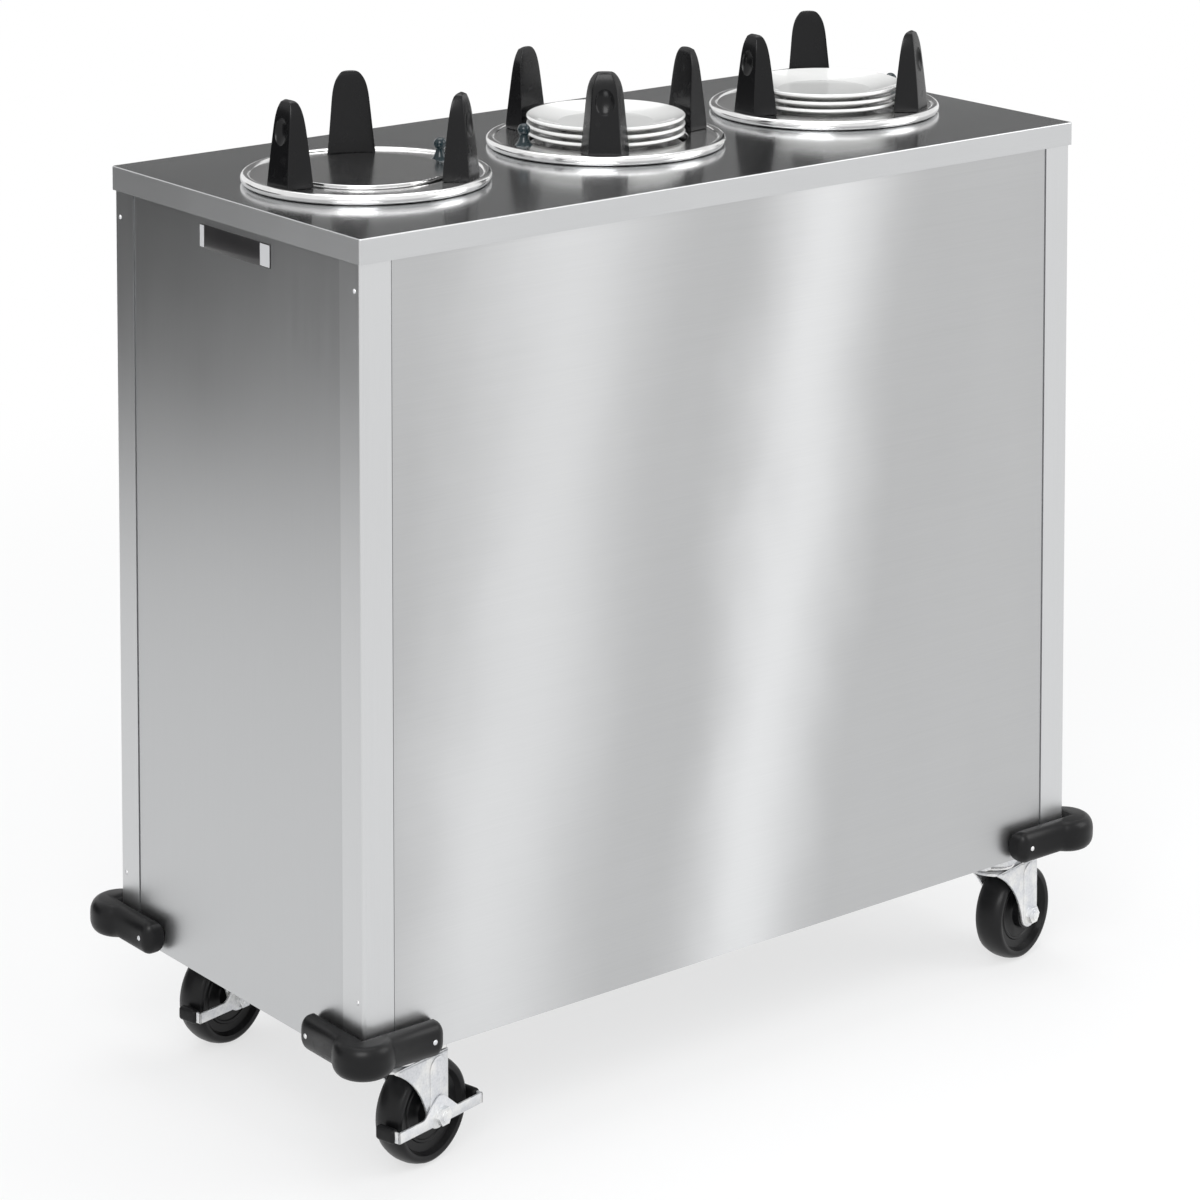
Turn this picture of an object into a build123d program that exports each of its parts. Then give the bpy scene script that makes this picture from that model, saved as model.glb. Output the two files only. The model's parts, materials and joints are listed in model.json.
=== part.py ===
from build123d import *
import os
from math import sqrt

# A three-stack plate dispenser on casters.
# Millimetres, +Z up, X along the length, the long front faces -Y.
# The origin lies on the floor, below the middle of the body.

# Overall sizes
body_length = 908.0
body_width = 426.0
body_height = 780.0
floor_gap = 130.0

# Sheet steel
pan_sheet = 1.5
lip_height = 24.0
lip_gap = 0.5
post_sheet = 1.5
post_leg = 34.0
post_lap = 12.0
post_bend = 3.5
panel_sheet = 1.5
panel_recess = 1.0
panel_reveal = 1.5
panel_flange = 16.0
pan_bend = 2.0
pan_edge = 1.2
base_sheet = 2.0
base_flange = 30.0
pad_sheet = 5.0

# Corner bumpers
bumper_rise = 3.0
bumper_height = 35.0
bumper_leg = 66.0
bumper_thickness = 17.0
bumper_bulb_r = 13.0
bumper_corner_r = 25.0
bumper_corner_out = 6.25
bumper_round = 8.0
bumper_screw_r = 2.5
bumper_screw_head_r = 4.5
bumper_screw_sink = 5.0
bumper_screw_edge = 1.0
bumper_screw_inset = 29.7

# Dispensing units, along the length
unit_count = 3
unit_pitch = 298.0
unit_turns = (5.0, 171.0, -1.0)
unit_drops = (0.0, 12.0, 12.0)
guide_angles = (60.0, 180.0, 300.0)
deck_hole_r = 108.0

# Rim of a unit
rim_r = 123.0
rim_bead_r = 5.0
rim_sheet = 1.5
rim_flange_rise = 7.5
throat_r = 84.0
collar_depth = 24.0
throat_bend = 1.4

# Plate guides
guide_height = 85.0
guide_foot_width = 50.0
guide_tip_r = 19.0
guide_gap = 2.0
guide_foot_depth = 25.0
guide_lean = 6.5
guide_tip_depth = 11.0
guide_belly = 4.0
guide_edge = 2.5
guide_dish_r = 20.0
guide_dish_depth = 1.6
guide_dish_drop = 22.0
guide_screw_r = 2.5
guide_screw_bite = 14.0
guide_screw_head_r = 4.5
guide_screw_head = 3.0
slot_travel = 8.0

# Knob on a rim
knob_angle = 0.0
knob_place_r = 95.0
knob_ball_r = 6.5
knob_base_r = 9.0
knob_neck_r = 4.0
knob_flare = 1.5
knob_height = 22.0
knob_shank_r = 2.5
knob_collar_r = 5.0
knob_collar = 3.0

# Guide rods and base ring of a unit
rod_r = 4.5
rod_place_r = 95.0
rod_turn = 40.0
ring_width = 20.0
ring_rise = 72.2
ring_sheet = 4.0
stop_width = 3.0
stop_height = 8.0
ring_foot_r = 6.0

# Carrier of a unit
carrier_r = 80.0
carrier_sheet = 1.5
carrier_rise = 11.0
carrier_skirt = 6.0
carrier_edge = 1.3
carrier_leg_r = 4.0
carrier_leg_place_r = 60.0
carrier_leg_length = 250.0
spider_sheet = 4.0
spider_inner_r = 50.0
spider_outer_r = 70.0
spider_arm = 20.0
bush_wall = 3.0
bush_length = 26.0
bush_flange = 2.5
bush_flange_sheet = 2.0
spring_turn = -25.0
spring_place_r = 92.0
spring_r = 5.5
spring_eye_r = 1.5
spring_end = 10.0

# Plates
plate_r = 81.5
plate_height = 16.0
plate_foot_r = 40.0
plate_foot_width = 3.5
plate_foot_height = 3.0
plate_floor = 5.0
plate_rim_sheet = 3.5
plate_foot_flare = 1.0
plate_well_r = 49.0
plate_curve_r = 62.0
plate_curve_low = 6.2
plate_curve_high = 10.8
plate_count = 3

# Casters
wheel_d = 102.0
wheel_width = 32.0
wheel_shoulder = 5.0
wheel_recess_r = 40.0
wheel_recess = 7.0
wheel_recess_out = 2.0
wheel_recess_in = 1.0
wheel_boss_r = 15.0
wheel_boss_flare = 3.0
caster_trail = 37.0
caster_turn = 12.0
caster_inset_x = 63.0
caster_inset_y = 41.0
caster_plate_x = 94.0
caster_plate_y = 66.0
caster_plate_sheet = 3.0
caster_plate_corner = 7.0
caster_bolt_x = 72.0
caster_bolt_y = 46.0
raceway_r = 27.0
raceway_inner_r = 15.0
raceway_height = 11.0
raceway_edge = 4.0
ball_ring_r = 21.0
ball_r = 2.4
fork_sheet = 3.0
fork_crown_r = 29.0
fork_inside = 39.0
fork_top_back = 24.0
fork_top_front = 30.0
fork_eye_r = 13.0
fork_sweep_r = 58.9
fork_sweep_back = 53.0
fork_sweep_drop = 29.2
fork_bend = 2.5
fork_crease_r = 3.5
fork_crease_rise = 1.2
fork_crease_top = (22.3, 9.0)
fork_crease_foot = (1.0, 4.0)
kingpin_r = 6.0
kingpin_nut = 7.0
kingpin_end = 1.5
kingpin_nut_flat = 17.0
axle_r = 5.0
sleeve_r = 8.0
axle_nut = 6.5
axle_end = 2.0
axle_nut_flat = 16.0
bolt_r = 4.0
bolt_head = 5.5
bolt_head_flat = 13.0

# Foot brake of a caster
brake_length = 140.0
brake_width = 14.0
brake_sheet = 2.5
brake_boss_r = 13.0
brake_tab = 30.0
brake_grip_wall = 2.0
brake_grip_edge = 1.8
brake_grip_length = 24.0
brake_blend = 6.0

# Clearances
seat_gap = 0.3
running_gap = 0.05
ball_gap = 0.1

# Worked out from the sizes above
deck_z = floor_gap + body_height
half_l = body_length / 2
half_w = body_width / 2
sheet_step = panel_recess + panel_sheet
deck_under = deck_z - pan_sheet
base_top = floor_gap + base_sheet
flange_top = deck_z + rim_flange_rise
flange_under = flange_top - rim_sheet
guide_inner_r = throat_r + guide_gap
guide_screw_place_r = guide_inner_r + guide_foot_depth / 2
guide_tip_in = guide_inner_r + guide_lean
guide_tip_out = guide_tip_in + guide_tip_depth
spider_top = deck_z + carrier_rise - carrier_sheet - carrier_leg_length
bush_low = spider_top - (spider_sheet + bush_length) / 2
ring_top = base_top + ring_rise
wheel_r = wheel_d / 2
caster_top = floor_gap - caster_plate_sheet
crown_top = caster_top - raceway_height - 2 * (ball_r + ball_gap)
leg_in = fork_inside / 2
leg_out = leg_in + fork_sheet
unit_places = [(i - (unit_count - 1) / 2) * unit_pitch for i in range(unit_count)]
corners = {"front_left": (-1, -1), "front_right": (1, -1), "rear_left": (-1, 1), "rear_right": (1, 1)}
braked = ("front_left", "rear_left")


def write(node, *solids):
    shape = solids[0] if len(solids) == 1 else Compound(children=list(solids))
    export_step(shape, f"parts/{node}.step")


def to_corner(shape, side_x, side_y):
    """Carries a shape made at the +X +Y corner to another corner."""
    if side_x < 0:
        shape = mirror(shape, Plane.YZ)
    if side_y < 0:
        shape = mirror(shape, Plane.XZ)
    return shape


def spread(shape, angles):
    """Copies of a shape turned about the Z axis."""
    return [Rot(0, 0, angle) * shape for angle in angles]


def tube(outer, inner, bottom, top):
    ring = Circle(outer) - Circle(inner)
    return extrude(Pos(0, 0, bottom) * ring, amount=top - bottom)


def rod(radius, bottom, top):
    return extrude(Pos(0, 0, bottom) * Circle(radius), amount=top - bottom)


def hexagon(flat, bottom, top):
    return extrude(Pos(0, 0, bottom) * RegularPolygon(flat / 2, 6, major_radius=False), amount=top - bottom)


def turned(*lines):
    """A solid turned about the Z axis from an outline of radius and height."""
    return revolve(Plane.XZ * make_face(Curve() + list(lines)), Axis.Z)


# Body

def top_pan():
    length = body_length + 2 * (pan_sheet + lip_gap)
    width = body_width + 2 * (pan_sheet + lip_gap)
    pan = extrude(Pos(0, 0, deck_z - lip_height) * Rectangle(length, width), amount=lip_height)
    upright = pan.edges().filter_by(Axis.Z)
    pan = fillet(upright, pan_bend)
    pan = fillet(pan.faces().sort_by(Axis.Z)[-1].edges(), pan_edge)
    inside = Rectangle(length - 2 * pan_sheet, width - 2 * pan_sheet)
    pan -= extrude(Pos(0, 0, deck_z - lip_height) * inside, amount=lip_height - pan_sheet)
    for x in unit_places:
        pan -= Pos(x, 0, 0) * rod(deck_hole_r, deck_z - lip_height, deck_z + pan_sheet)
    return pan


def corner_post():
    """A folded angle whose two edges step in behind the panels."""
    leg = [(-post_leg - post_lap, -sheet_step), (-post_leg, -sheet_step), (-post_leg, 0), (0, 0)]
    lap = [(-post_leg - post_lap, -sheet_step - post_sheet), (-post_leg + post_sheet, -sheet_step - post_sheet)]
    inner = lap + [(-post_leg + post_sheet, -post_sheet), (-post_sheet, -post_sheet)]
    outer_line = leg + [(y, x) for x, y in reversed(leg[:-1])]
    inner_line = inner + [(y, x) for x, y in reversed(inner[:-1])]
    section = make_face(Polyline(*outer_line, *reversed(inner_line), close=True))
    post = extrude(section, amount=body_height - pan_sheet)
    edges = post.edges().filter_by(Axis.Z)
    post = fillet(edges.sort_by_distance((0, 0, body_height / 2))[0], post_bend)
    return Pos(half_l, half_w, floor_gap) * post


def panel(span, offset):
    """A sheet between two posts, facing +Y, with its top edge folded inwards."""
    width = span - 2 * (post_leg + panel_reveal)
    height = body_height - pan_sheet
    face_y = offset - panel_recess
    sheet = Pos(0, face_y - panel_sheet / 2, floor_gap + height / 2) * Box(width, panel_sheet, height)
    flange_width = span - 2 * (post_leg + post_lap + panel_reveal)
    fold = Pos(0, face_y - panel_flange / 2, deck_under - panel_sheet / 2)
    return sheet + fold * Box(flange_width, panel_flange, panel_sheet)


def base_pan():
    length = body_length - 2 * (sheet_step + post_sheet)
    width = body_width - 2 * (sheet_step + post_sheet)
    height = base_sheet + base_flange
    pan = extrude(Pos(0, 0, floor_gap) * Rectangle(length, width), amount=height)
    pan = fillet(pan.edges().filter_by(Axis.Z), pan_bend)
    inside = RectangleRounded(length - 2 * base_sheet, width - 2 * base_sheet, base_sheet)
    pan -= extrude(Pos(0, 0, base_top) * inside, amount=height)
    for bolt in caster_bolt_places():
        pan -= bolt * rod(bolt_r + running_gap, floor_gap, base_top)
    return pan


def caster_sheet(thickness):
    """A plate with the caster's four bolt holes, lying on z = 0."""
    outline = RectangleRounded(caster_plate_x, caster_plate_y, caster_plate_corner)
    for x in (-caster_bolt_x / 2, caster_bolt_x / 2):
        for y in (-caster_bolt_y / 2, caster_bolt_y / 2):
            outline -= Pos(x, y) * Circle(bolt_r + running_gap)
    return extrude(outline, amount=thickness)


def caster_pad():
    """A stiffening plate inside the body, above a caster."""
    return Pos(0, 0, base_top) * caster_sheet(pad_sheet)


def bumper():
    """A moulded corner guard at the +X +Y corner: two arms with bulbs and a fat corner."""
    arm = Pos(-bumper_leg / 2, bumper_thickness / 2) * Rectangle(bumper_leg, bumper_thickness)
    bulb = Pos(-bumper_leg, bumper_bulb_r) * Circle(bumper_bulb_r)
    outline = arm + bulb
    outline += mirror(outline, Plane((0, 0, 0), z_dir=(1, -1, 0)))
    outline += Pos(bumper_corner_out, bumper_corner_out) * Circle(bumper_corner_r)
    outline -= Pos(-half_l, -half_w) * Rectangle(body_length, body_width)
    guard = extrude(outline, amount=bumper_height)
    outer = [edge for edge in guard.edges().filter_by(Plane.XY) if not on_body(edge)]
    guard = fillet(outer, bumper_round)
    for screw in bumper_screw_places():
        guard -= screw * bumper_screw_hole()
    return Pos(half_l, half_w, floor_gap + bumper_rise) * guard


def on_body(edge):
    """True for an edge of a guard that lies on one of the two body faces."""
    middle = edge.center()
    flat = edge.geom_type == GeomType.LINE
    return flat and (abs(middle.X) < running_gap or abs(middle.Y) < running_gap)


def bumper_screw_places():
    middle = bumper_height / 2
    along = Pos(-bumper_screw_inset, 0, middle) * Rot(-90, 0, 0)
    across = Pos(0, -bumper_screw_inset, middle) * Rot(0, 90, 0)
    return [along, across]


def bumper_screw_hole():
    sink = bumper_thickness - bumper_screw_sink
    return rod(bumper_screw_r, -post_sheet, bumper_thickness) + rod(bumper_screw_head_r, sink, bumper_thickness)


def bumper_screw():
    sink = bumper_thickness - bumper_screw_sink
    head = rod(bumper_screw_head_r, sink, sink + bumper_screw_r)
    head = fillet(head.edges().sort_by(Axis.Z)[-1], bumper_screw_edge)
    return head + rod(bumper_screw_r, 0, sink)


# Dispensing units

def rim():
    """The rolled flange that rests on the deck, with the collar that the plates pass through."""
    bead = Pos(rim_r - rim_bead_r, deck_z + rim_bead_r) * Circle(rim_bead_r)
    flange = Pos((throat_r + rim_r - rim_bead_r) / 2, (flange_top + flange_under) / 2)
    flange *= Rectangle(rim_r - rim_bead_r - throat_r, rim_sheet)
    collar_height = flange_top - deck_z + collar_depth
    collar = Pos(throat_r + rim_sheet / 2, flange_top - collar_height / 2) * Rectangle(rim_sheet, collar_height)
    ring = revolve(Plane.XZ * (bead + flange + collar), Axis.Z)
    throat = [edge for edge in ring.edges() if abs(edge.center().Z - flange_top) < running_gap]
    ring = fillet(min(throat, key=lambda edge: edge.length), throat_bend)
    slot = SlotOverall(slot_travel + 2 * guide_screw_r, 2 * guide_screw_r)
    slot = extrude(Pos(guide_screw_place_r, 0, flange_under) * slot, amount=rim_sheet)
    for cut in spread(slot, guide_angles):
        ring -= cut
    knob_hole = Pos(knob_place_r, 0, 0) * rod(knob_shank_r + running_gap, flange_under, flange_top)
    return ring - Rot(0, 0, knob_angle) * knob_hole


def guide():
    """An upright finger that keeps the plates in line, its foot on the rim's flange."""
    foot = Line((-guide_foot_width / 2, 0), (guide_foot_width / 2, 0))
    tip = Pos(0, guide_height - guide_tip_r) * Circle(guide_tip_r)
    front = Plane.YZ * make_hull([foot] + tip.edges())
    finger = extrude(front, amount=guide_inner_r + 2 * guide_foot_depth) & guide_side()
    outline = [edge for edge in finger.edges() if edge.bounding_box().size.Z > guide_tip_r / 2]
    finger = chamfer(outline, guide_edge)
    dish = Pos(guide_tip_out + guide_dish_r, 0, guide_height - guide_dish_drop) * Sphere(guide_dish_r)
    finger -= Pos(-guide_dish_depth + guide_belly / 2, 0, 0) * dish
    finger -= Pos(guide_screw_place_r, 0, 0) * rod(guide_screw_r, 0, guide_screw_bite)
    return Pos(0, 0, flange_top) * finger


def guide_side():
    """The finger's side outline as a slab: a leaning inner face and a bellied outer one."""
    foot_out = guide_inner_r + guide_foot_depth
    top = guide_height + guide_edge
    belly = ((guide_tip_out + foot_out) / 2 + guide_belly, guide_height / 2)
    outline = Curve() + [
        Polyline((foot_out, 0), (guide_inner_r, 0), (guide_tip_in, top), (guide_tip_out, top)),
        ThreePointArc((guide_tip_out, top), belly, (foot_out, 0)),
    ]
    return extrude(Plane.XZ * make_face(outline), amount=guide_foot_width, both=True)


def guide_screw():
    head = rod(guide_screw_head_r, flange_under - guide_screw_head, flange_under)
    shank = rod(guide_screw_r, flange_under, flange_top + guide_screw_bite)
    return Pos(guide_screw_place_r, 0, 0) * (head + shank)


def knob():
    """A small ball knob whose shank passes through the flange and is held below it."""
    ball_z = knob_height - knob_ball_r
    neck_z = ball_z - sqrt(knob_ball_r**2 - knob_neck_r**2)
    base = turned(
        Line((0, 0), (knob_base_r, 0)),
        ThreePointArc((knob_base_r, 0), (knob_neck_r + knob_flare, neck_z / 2), (knob_neck_r, neck_z)),
        Line((knob_neck_r, neck_z), (0, neck_z)),
        Line((0, neck_z), (0, 0)),
    )
    body = base + Pos(0, 0, ball_z) * Sphere(knob_ball_r)
    body = Pos(0, 0, flange_top + running_gap) * body
    body += rod(knob_shank_r, flange_under - knob_collar, flange_top + 2 * running_gap)
    body += rod(knob_collar_r, flange_under - seat_gap - knob_collar, flange_under - seat_gap)
    return Rot(0, 0, knob_angle) * Pos(knob_place_r, 0, 0) * body


def guide_rod():
    """A rod from the rim's flange to the base ring, with a collar that stops the carrier at its top."""
    stop = bush_low + bush_length + seat_gap
    collar = rod(rod_r + stop_width, stop, stop + stop_height)
    return Pos(rod_place_r, 0, 0) * (rod(rod_r, ring_top, flange_under) + collar)


def rod_angles():
    return [angle + rod_turn for angle in guide_angles]


def spring_angles():
    return [angle + spring_turn for angle in guide_angles]


def base_ring():
    ring = tube(rod_place_r + ring_width / 2, rod_place_r - ring_width / 2, ring_top - ring_sheet, ring_top)
    foot = Pos(rod_place_r, 0, 0) * rod(ring_foot_r, base_top, ring_top - ring_sheet)
    for part in spread(foot, rod_angles()):
        ring += part
    return ring


def carrier():
    """The round platform on three legs, with a spider below that runs on the guide rods."""
    top = deck_z + carrier_rise
    disc = rod(carrier_r, top - carrier_skirt, top)
    disc = fillet(disc.edges().sort_by(Axis.Z)[-1], carrier_edge)
    disc -= rod(carrier_r - carrier_sheet, top - carrier_skirt, top - carrier_sheet)
    spider = Circle(spider_outer_r) - Circle(spider_inner_r)
    for angle in rod_angles():
        arm = SlotCenterToCenter(rod_place_r - spider_inner_r - 2 * bush_wall, spider_arm)
        spider += Rot(0, 0, angle) * Pos((spider_inner_r + rod_place_r) / 2, 0) * arm
        spider -= Rot(0, 0, angle) * Pos(rod_place_r, 0) * Circle(rod_r + running_gap + bush_wall)
    for angle in spring_angles():
        arm = SlotCenterToCenter(spring_place_r - spider_inner_r, spring_r * 2)
        spider += Rot(0, 0, angle) * Pos((spider_inner_r + spring_place_r) / 2, 0) * arm
    spider -= Circle(spider_inner_r)
    frame = disc + extrude(Pos(0, 0, spider_top - spider_sheet) * spider, amount=spider_sheet)
    leg = Pos(carrier_leg_place_r, 0, 0) * rod(carrier_leg_r, spider_top - spider_sheet, top - carrier_sheet)
    for part in spread(leg, rod_angles()):
        frame += part
    return frame


def carrier_bush():
    """A flanged plastic bush in a spider arm, which slides on a guide rod."""
    inner = rod_r + running_gap
    outer = inner + bush_wall
    body = tube(outer, inner, bush_low, bush_low + bush_length)
    body += tube(outer + bush_flange, inner, spider_top, spider_top + bush_flange_sheet)
    return Pos(rod_place_r, 0, 0) * body


def lift_spring(drop):
    """A close-wound extension spring, from the rim's flange down to a spider arm that hangs lower by a drop."""
    low = spider_top - drop
    high = flange_under
    hook = [(0, 0), (spring_eye_r, 0), (spring_eye_r, spring_end / 2), (spring_r, spring_end)]
    lower = [(r, low + z) for r, z in hook]
    upper = [(r, high - z) for r, z in reversed(hook)]
    return Pos(spring_place_r, 0, 0) * turned(Polyline(*lower, *upper, (0, low)))


def plate():
    """A coupe plate of thick ware: a foot ring, a flat well and a raised rim."""
    foot_out = plate_foot_r + plate_foot_width
    floor = plate_foot_height + plate_floor
    under_rim = plate_height - plate_rim_sheet
    lip = plate_r - plate_rim_sheet / 2
    foot_flare = foot_out + plate_foot_flare
    under = [(0, floor), (0, plate_foot_height), (plate_foot_r - plate_foot_height, plate_foot_height)]
    foot = [(plate_foot_r, 0), (foot_out, 0), (foot_flare, plate_foot_height)]
    return turned(
        Polyline(*under, *foot),
        ThreePointArc(foot[-1], (plate_curve_r, plate_curve_low), (lip, under_rim)),
        ThreePointArc((lip, under_rim), (plate_r, under_rim + plate_rim_sheet / 2), (lip, plate_height)),
        ThreePointArc((lip, plate_height), (plate_curve_r, plate_curve_high), (plate_well_r, floor)),
        Line((plate_well_r, floor), (0, floor)),
    )


# Casters, made with the swivel axis on Z and the wheel trailing towards +X

def caster_bolt_places():
    places = []
    for side_x, side_y in corners.values():
        spot = caster_spot(side_x, side_y)
        for x in (-caster_bolt_x / 2, caster_bolt_x / 2):
            for y in (-caster_bolt_y / 2, caster_bolt_y / 2):
                places.append(spot * Pos(x, y, 0))
    return places


def caster_spot(side_x, side_y):
    return Pos(side_x * (half_l - caster_inset_x), side_y * (half_w - caster_inset_y), 0)


def caster_bolt():
    """A bolt from below the caster's plate, with its nut on the pad inside."""
    head = hexagon(bolt_head_flat, caster_top - bolt_head, caster_top)
    pad_top = base_top + pad_sheet
    nut = hexagon(bolt_head_flat, pad_top, pad_top + bolt_head)
    return head + rod(bolt_r, caster_top, pad_top + bolt_head + bolt_r / 2) + nut


def caster_plate():
    plate_body = Pos(0, 0, caster_top) * caster_sheet(caster_plate_sheet)
    cup = rod(raceway_r, caster_top - raceway_height, caster_top)
    cup = fillet(cup.edges().sort_by(Axis.Z)[0], raceway_edge)
    cup -= rod(raceway_inner_r, caster_top - raceway_height, caster_top - caster_plate_sheet)
    return plate_body + cup - rod(kingpin_r, caster_top - raceway_height, floor_gap)


def ball_ring():
    return Pos(0, 0, crown_top + ball_gap + ball_r) * Torus(ball_ring_r, ball_r)


def kingpin():
    nut_top = crown_top - fork_sheet - seat_gap
    shank = rod(kingpin_r, nut_top - kingpin_nut - kingpin_end, floor_gap)
    return shank + hexagon(kingpin_nut_flat, nut_top - kingpin_nut, nut_top)


def fork_side():
    """Outline of a fork leg: swept forward edge, round eye at the axle."""
    top = Pos((fork_top_front - fork_top_back) / 2, crown_top - fork_sheet / 2)
    top *= Rectangle(fork_top_front + fork_top_back, fork_sheet)
    eye = Pos(caster_trail, wheel_r) * Circle(fork_eye_r)
    leg = make_hull(top.edges() + eye.edges())
    return leg - Pos(caster_trail - fork_sweep_back, wheel_r - fork_sweep_drop) * Circle(fork_sweep_r)


def fork():
    leg = extrude(Plane.XZ.offset(leg_in) * fork_side(), amount=fork_sheet)
    high = Pos(fork_crease_top[0], crown_top - fork_crease_top[1])
    low = Pos(caster_trail - fork_crease_foot[0], wheel_r + fork_eye_r + fork_crease_foot[1])
    ends = (high * Circle(fork_crease_r)).edges() + (low * Circle(fork_crease_r / 2)).edges()
    leg += extrude(Plane.XZ.offset(leg_out) * make_hull(ends), amount=fork_crease_rise)
    length = fork_top_front + fork_top_back
    crown = Circle(fork_crown_r)
    crown += Pos(length / 2 - fork_top_back, 0) * Rectangle(length, 2 * leg_out)
    body = extrude(Pos(0, 0, crown_top - fork_sheet) * crown, amount=fork_sheet)
    body += leg
    body += mirror(leg, Plane.XZ)
    upper = [edge for edge in body.edges().filter_by(Axis.X) if abs(edge.center().Z - crown_top) < running_gap]
    bends = [edge for edge in upper if abs(abs(edge.center().Y) - leg_out) < running_gap]
    body = fillet(bends, fork_bend)
    body -= rod(kingpin_r + running_gap, crown_top - fork_sheet, crown_top)
    return body - axle_line(rod(axle_r, -leg_out - fork_sheet, leg_out + fork_sheet))


def axle_line(shape):
    """Lays a shape made along Z on the axle; its +Z end points to -Y."""
    return Pos(caster_trail, 0, wheel_r) * Rot(90, 0, 0) * shape


def wheel():
    half = wheel_width / 2
    web = half - wheel_recess
    bore = sleeve_r + running_gap
    hub = leg_in - seat_gap
    shoulder = wheel_r - wheel_shoulder
    recess = wheel_recess_r + wheel_recess_out
    floor = wheel_recess_r - wheel_recess_in
    boss = wheel_boss_r + wheel_boss_flare
    face = [(shoulder, half), (recess, half), (floor, web), (boss, web), (wheel_boss_r, hub), (bore, hub)]
    back = [(r, -z) for r, z in face]
    return axle_line(turned(
        Polyline(*back, *reversed(face)),
        ThreePointArc((shoulder, half), (wheel_r, 0), (shoulder, -half)),
    ))


def axle(has_brake):
    """Axle bolt with its head behind, the nut in front and the sleeve that the wheel turns on."""
    stack = brake_sheet + 2 * seat_gap if has_brake else 0
    nut_z = leg_out + stack
    head = hexagon(axle_nut_flat, -leg_out - axle_nut, -leg_out)
    bolt = head + rod(axle_r, -leg_out, nut_z + axle_nut + axle_end)
    nut = hexagon(axle_nut_flat, nut_z, nut_z + axle_nut) - rod(axle_r, nut_z, nut_z + axle_nut)
    sleeve = tube(sleeve_r, axle_r, -leg_in, leg_in)
    return [axle_line(bolt), axle_line(nut), axle_line(sleeve)]


def brake_lever():
    """A flat bar across the wheel, folded inwards at both ends, turning on the axle bolt."""
    bar = Rectangle(brake_length, brake_width) + Circle(brake_boss_r)
    notches = [v for v in bar.vertices() if abs(v.X) < brake_length / 4]
    bar = fillet(notches, brake_blend)
    low = leg_out + seat_gap
    lever = extrude(Pos(0, 0, low) * bar, amount=brake_sheet)
    for side in (-1, 1):
        x = side * (brake_length - brake_sheet) / 2
        lever += Pos(x, 0, low + brake_sheet - brake_tab / 2) * Box(brake_sheet, brake_width, brake_tab)
    return axle_line(lever - rod(axle_r + running_gap, low, low + brake_sheet))


def brake_grips():
    """Rubber sleeves on the two folded ends."""
    grips = []
    low = leg_out + seat_gap + brake_sheet - brake_tab
    outer = Rectangle(brake_sheet + 2 * brake_grip_wall, brake_width + 2 * brake_grip_wall)
    inner = Rectangle(brake_sheet, brake_width)
    for side in (-1, 1):
        x = side * (brake_length - brake_sheet) / 2
        grip = extrude(Pos(x, 0, low - brake_grip_wall) * outer, amount=brake_grip_length)
        grip = fillet(grip.edges().filter_by(Axis.Z), brake_grip_edge)
        grip -= extrude(Pos(x, 0, low) * inner, amount=brake_tab)
        grips.append(axle_line(grip))
    return grips


def build_body():
    write("top_pan", top_pan())
    post = corner_post()
    guard = bumper()
    screws = []
    for name, (side_x, side_y) in corners.items():
        write(f"corner_post_{name}", to_corner(post, side_x, side_y))
        write(f"bumper_{name}", to_corner(guard, side_x, side_y))
        for place in bumper_screw_places():
            screw = Pos(half_l, half_w, floor_gap + bumper_rise) * place * bumper_screw()
            screws.append(to_corner(screw, side_x, side_y))
    write("bumper_screws", *screws)
    write("rear_panel", panel(body_length, half_w))
    write("front_panel", Rot(0, 0, 180) * panel(body_length, half_w))
    write("left_panel", Rot(0, 0, 90) * panel(body_width, half_l))
    write("right_panel", Rot(0, 0, -90) * panel(body_width, half_l))
    write("base_pan", base_pan())


def build_units():
    rods = []
    rings = []
    screws = []
    for number, (x, turn, drop) in enumerate(zip(unit_places, unit_turns, unit_drops), start=1):
        place = Pos(x, 0, 0) * Rot(0, 0, turn)
        low = place * Pos(0, 0, -drop)
        write(f"rim_{number}", place * rim())
        write(f"plate_guides_{number}", *[place * part for part in spread(guide(), guide_angles)])
        write(f"rim_knob_{number}", place * knob())
        write(f"carrier_{number}", low * carrier())
        write(f"carrier_bushes_{number}", *[low * part for part in spread(carrier_bush(), rod_angles())])
        write(f"lift_springs_{number}", *[place * part for part in spread(lift_spring(drop), spring_angles())])
        screws += [place * part for part in spread(guide_screw(), guide_angles)]
        rods += [place * part for part in spread(guide_rod(), rod_angles())]
        rings.append(place * base_ring())
        if drop:
            stack = [low * Pos(0, 0, deck_z + carrier_rise + i * (plate_foot_height + plate_floor)) * plate()
                     for i in range(plate_count)]
            write(f"plates_{number}", *stack)
    write("guide_screws", *screws)
    write("guide_rods", *rods)
    write("base_rings", *rings)


def build_casters():
    plates = []
    pads = []
    rings = []
    pins = []
    for name, (side_x, side_y) in corners.items():
        spot = caster_spot(side_x, side_y)
        turned_spot = spot * Rot(0, 0, caster_turn)
        plates.append(spot * caster_plate())
        pads.append(spot * caster_pad())
        rings.append(spot * ball_ring())
        pins.append(spot * kingpin())
        write(f"caster_fork_{name}", turned_spot * fork())
        write(f"wheel_{name}", turned_spot * wheel())
        write(f"axle_{name}", *[turned_spot * part for part in axle(name in braked)])
        if name in braked:
            write(f"brake_lever_{name}", turned_spot * brake_lever())
            write(f"brake_grips_{name}", *[turned_spot * part for part in brake_grips()])
    write("caster_plates", *plates)
    write("caster_pads", *pads)
    write("swivel_ball_rings", *rings)
    write("kingpins", *pins)
    write("caster_bolts", *[place * caster_bolt() for place in caster_bolt_places()])


os.makedirs("parts", exist_ok=True)
build_body()
build_units()
build_casters()
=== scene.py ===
import json
from math import asin, atan2, cos, pi, radians, sin

import bmesh
import bpy
from mathutils import Euler, Matrix, Vector


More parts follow.
